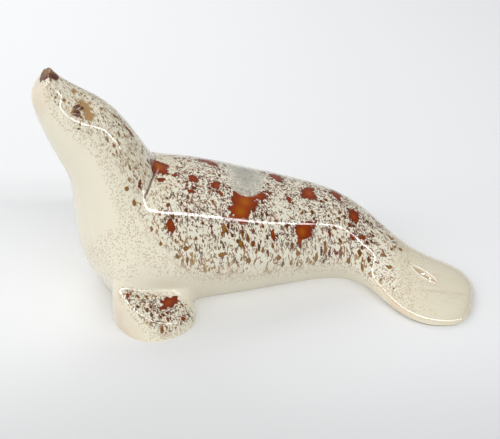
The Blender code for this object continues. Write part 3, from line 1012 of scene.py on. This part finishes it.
# Table top, light and camera
# The figurine lies on a sheet of white paper in a pale room, and painted shade darkens the paper a little
# in a band towards the camera. A long lamp above the camera draws the thin bright line along the
# wet-looking glaze, and a soft one behind, to the left, lights that side of the seal and of the paper.
PAPER_WHITE = (0.83, 0.835, 0.84, 1)
PAPER_PAINTED_SHADE = (0, 0, 0, 1)
PAPER_SHADE_SHARE = 0.17
PAPER_ROUGHNESS = 0.9
# Metres from the middle of the foot; the camera looks from the negative side.
DARKER_FROM, DARKER_TO = (-0.05, -0.17), (-0.6, -0.2)
PAPER_REACH = 3
ROOM_BRIGHT_SIDE = (-0.75, 0.25, 0.45)
ROOM_COLOUR = (0.97, 0.985, 1.0, 1)
ROOM_LEAST, ROOM_RANGE = 0.14, 0.36
ROOM_FROM, ROOM_TO = -0.6, 0.7
paper = bmesh.new()
bmesh.ops.create_grid(paper, x_segments=1, y_segments=1, size=PAPER_REACH)
paper_data = bpy.data.meshes.new("paper")
paper.to_mesh(paper_data)
paper.free()
floor = bpy.data.objects.new("paper", paper_data)
bpy.context.scene.collection.objects.link(floor)
paper_white = bpy.data.materials.new("paper_white")
paper_white.use_nodes = True
tree = paper_white.node_tree
paper_finish = tree.nodes["Principled BSDF"]
place = add_node(tree, "ShaderNodeTexCoord").outputs["Object"]
towards_front = add_node(tree, "ShaderNodeSeparateXYZ", {"Vector": place}).outputs["Y"]
# Painted shade: the paper is darkened in a band in front of the seal, towards the camera, and lighter again
# further off.
shaded = times(tree, rise(tree, towards_front, *DARKER_FROM), rise(tree, towards_front, *DARKER_TO))
shaded = times(tree, shaded, PAPER_SHADE_SHARE)
paper_hue = blended(tree, shaded, PAPER_WHITE, PAPER_PAINTED_SHADE)
tree.links.new(paper_hue, paper_finish.inputs["Base Color"])
paper_finish.inputs["Roughness"].default_value = PAPER_ROUGHNESS
paper_finish.inputs["Specular IOR Level"].default_value = 0.0
paper_data.materials.append(paper_white)

room = bpy.data.worlds.new("studio")
room.use_nodes = True
tree = room.node_tree
towards = add_node(tree, "ShaderNodeTexCoord").outputs["Generated"]
brighter = add_node(
    tree, "ShaderNodeVectorMath", {0: towards, 1: ROOM_BRIGHT_SIDE}, operation="DOT_PRODUCT"
).outputs["Value"]
level = times(tree, rise(tree, brighter, ROOM_FROM, ROOM_TO), ROOM_RANGE)
level = plus(tree, level, ROOM_LEAST)
backdrop = tree.nodes["Background"]
backdrop.inputs["Color"].default_value = ROOM_COLOUR
tree.links.new(level, backdrop.inputs["Strength"])
bpy.context.scene.world = room


def add_lamp(name, size, energy, heading, elevation, distance, aim):
    """A flat lamp that faces aim from a heading (0 is the camera's side, 90 the right) and an elevation."""
    data = bpy.data.lights.new(name, "AREA")
    data.shape = "RECTANGLE"
    data.size, data.size_y = size
    data.energy = energy
    lamp = bpy.data.objects.new(name, data)
    flat = Matrix.Rotation(radians(heading), 3, "Z") @ Vector((0, -cos(radians(elevation)), 0))
    way = flat + Vector((0, 0, sin(radians(elevation))))
    lamp.location = aim + way * distance
    lamp.rotation_euler = way.to_track_quat("Z", "Y").to_euler()
    bpy.context.scene.collection.objects.link(lamp)


OBJECT_MIDDLE = Vector((0, 0, 0.04))
BEHIND_HEAD = Vector((-0.16, 0.14, 0))
add_lamp(
    "long_lamp", size=(12.0, 0.15), energy=100,
    heading=0, elevation=50, distance=2.2, aim=OBJECT_MIDDLE,
)
add_lamp(
    "soft_lamp", size=(0.6, 0.6), energy=2.6,
    heading=-155, elevation=58, distance=0.8, aim=BEHIND_HEAD,
)

CAMERA_ELEVATION = 33
CAMERA_DISTANCE = 0.700
SENSOR_WIDTH = 36
FOCAL_LENGTH = 85.4
LOOK_AT = Vector((-0.0072, -0.0037, 0.044))
camera_data = bpy.data.cameras.new("camera")
camera_data.sensor_width = SENSOR_WIDTH
camera_data.lens = FOCAL_LENGTH
camera = bpy.data.objects.new("camera", camera_data)
camera_way = Vector((0, -cos(radians(CAMERA_ELEVATION)), sin(radians(CAMERA_ELEVATION))))
camera.location = LOOK_AT + camera_way * CAMERA_DISTANCE
camera.rotation_euler = camera_way.to_track_quat("Z", "Y").to_euler()
bpy.context.scene.collection.objects.link(camera)
bpy.context.scene.camera = camera
bpy.context.scene.view_settings.view_transform = "Standard"
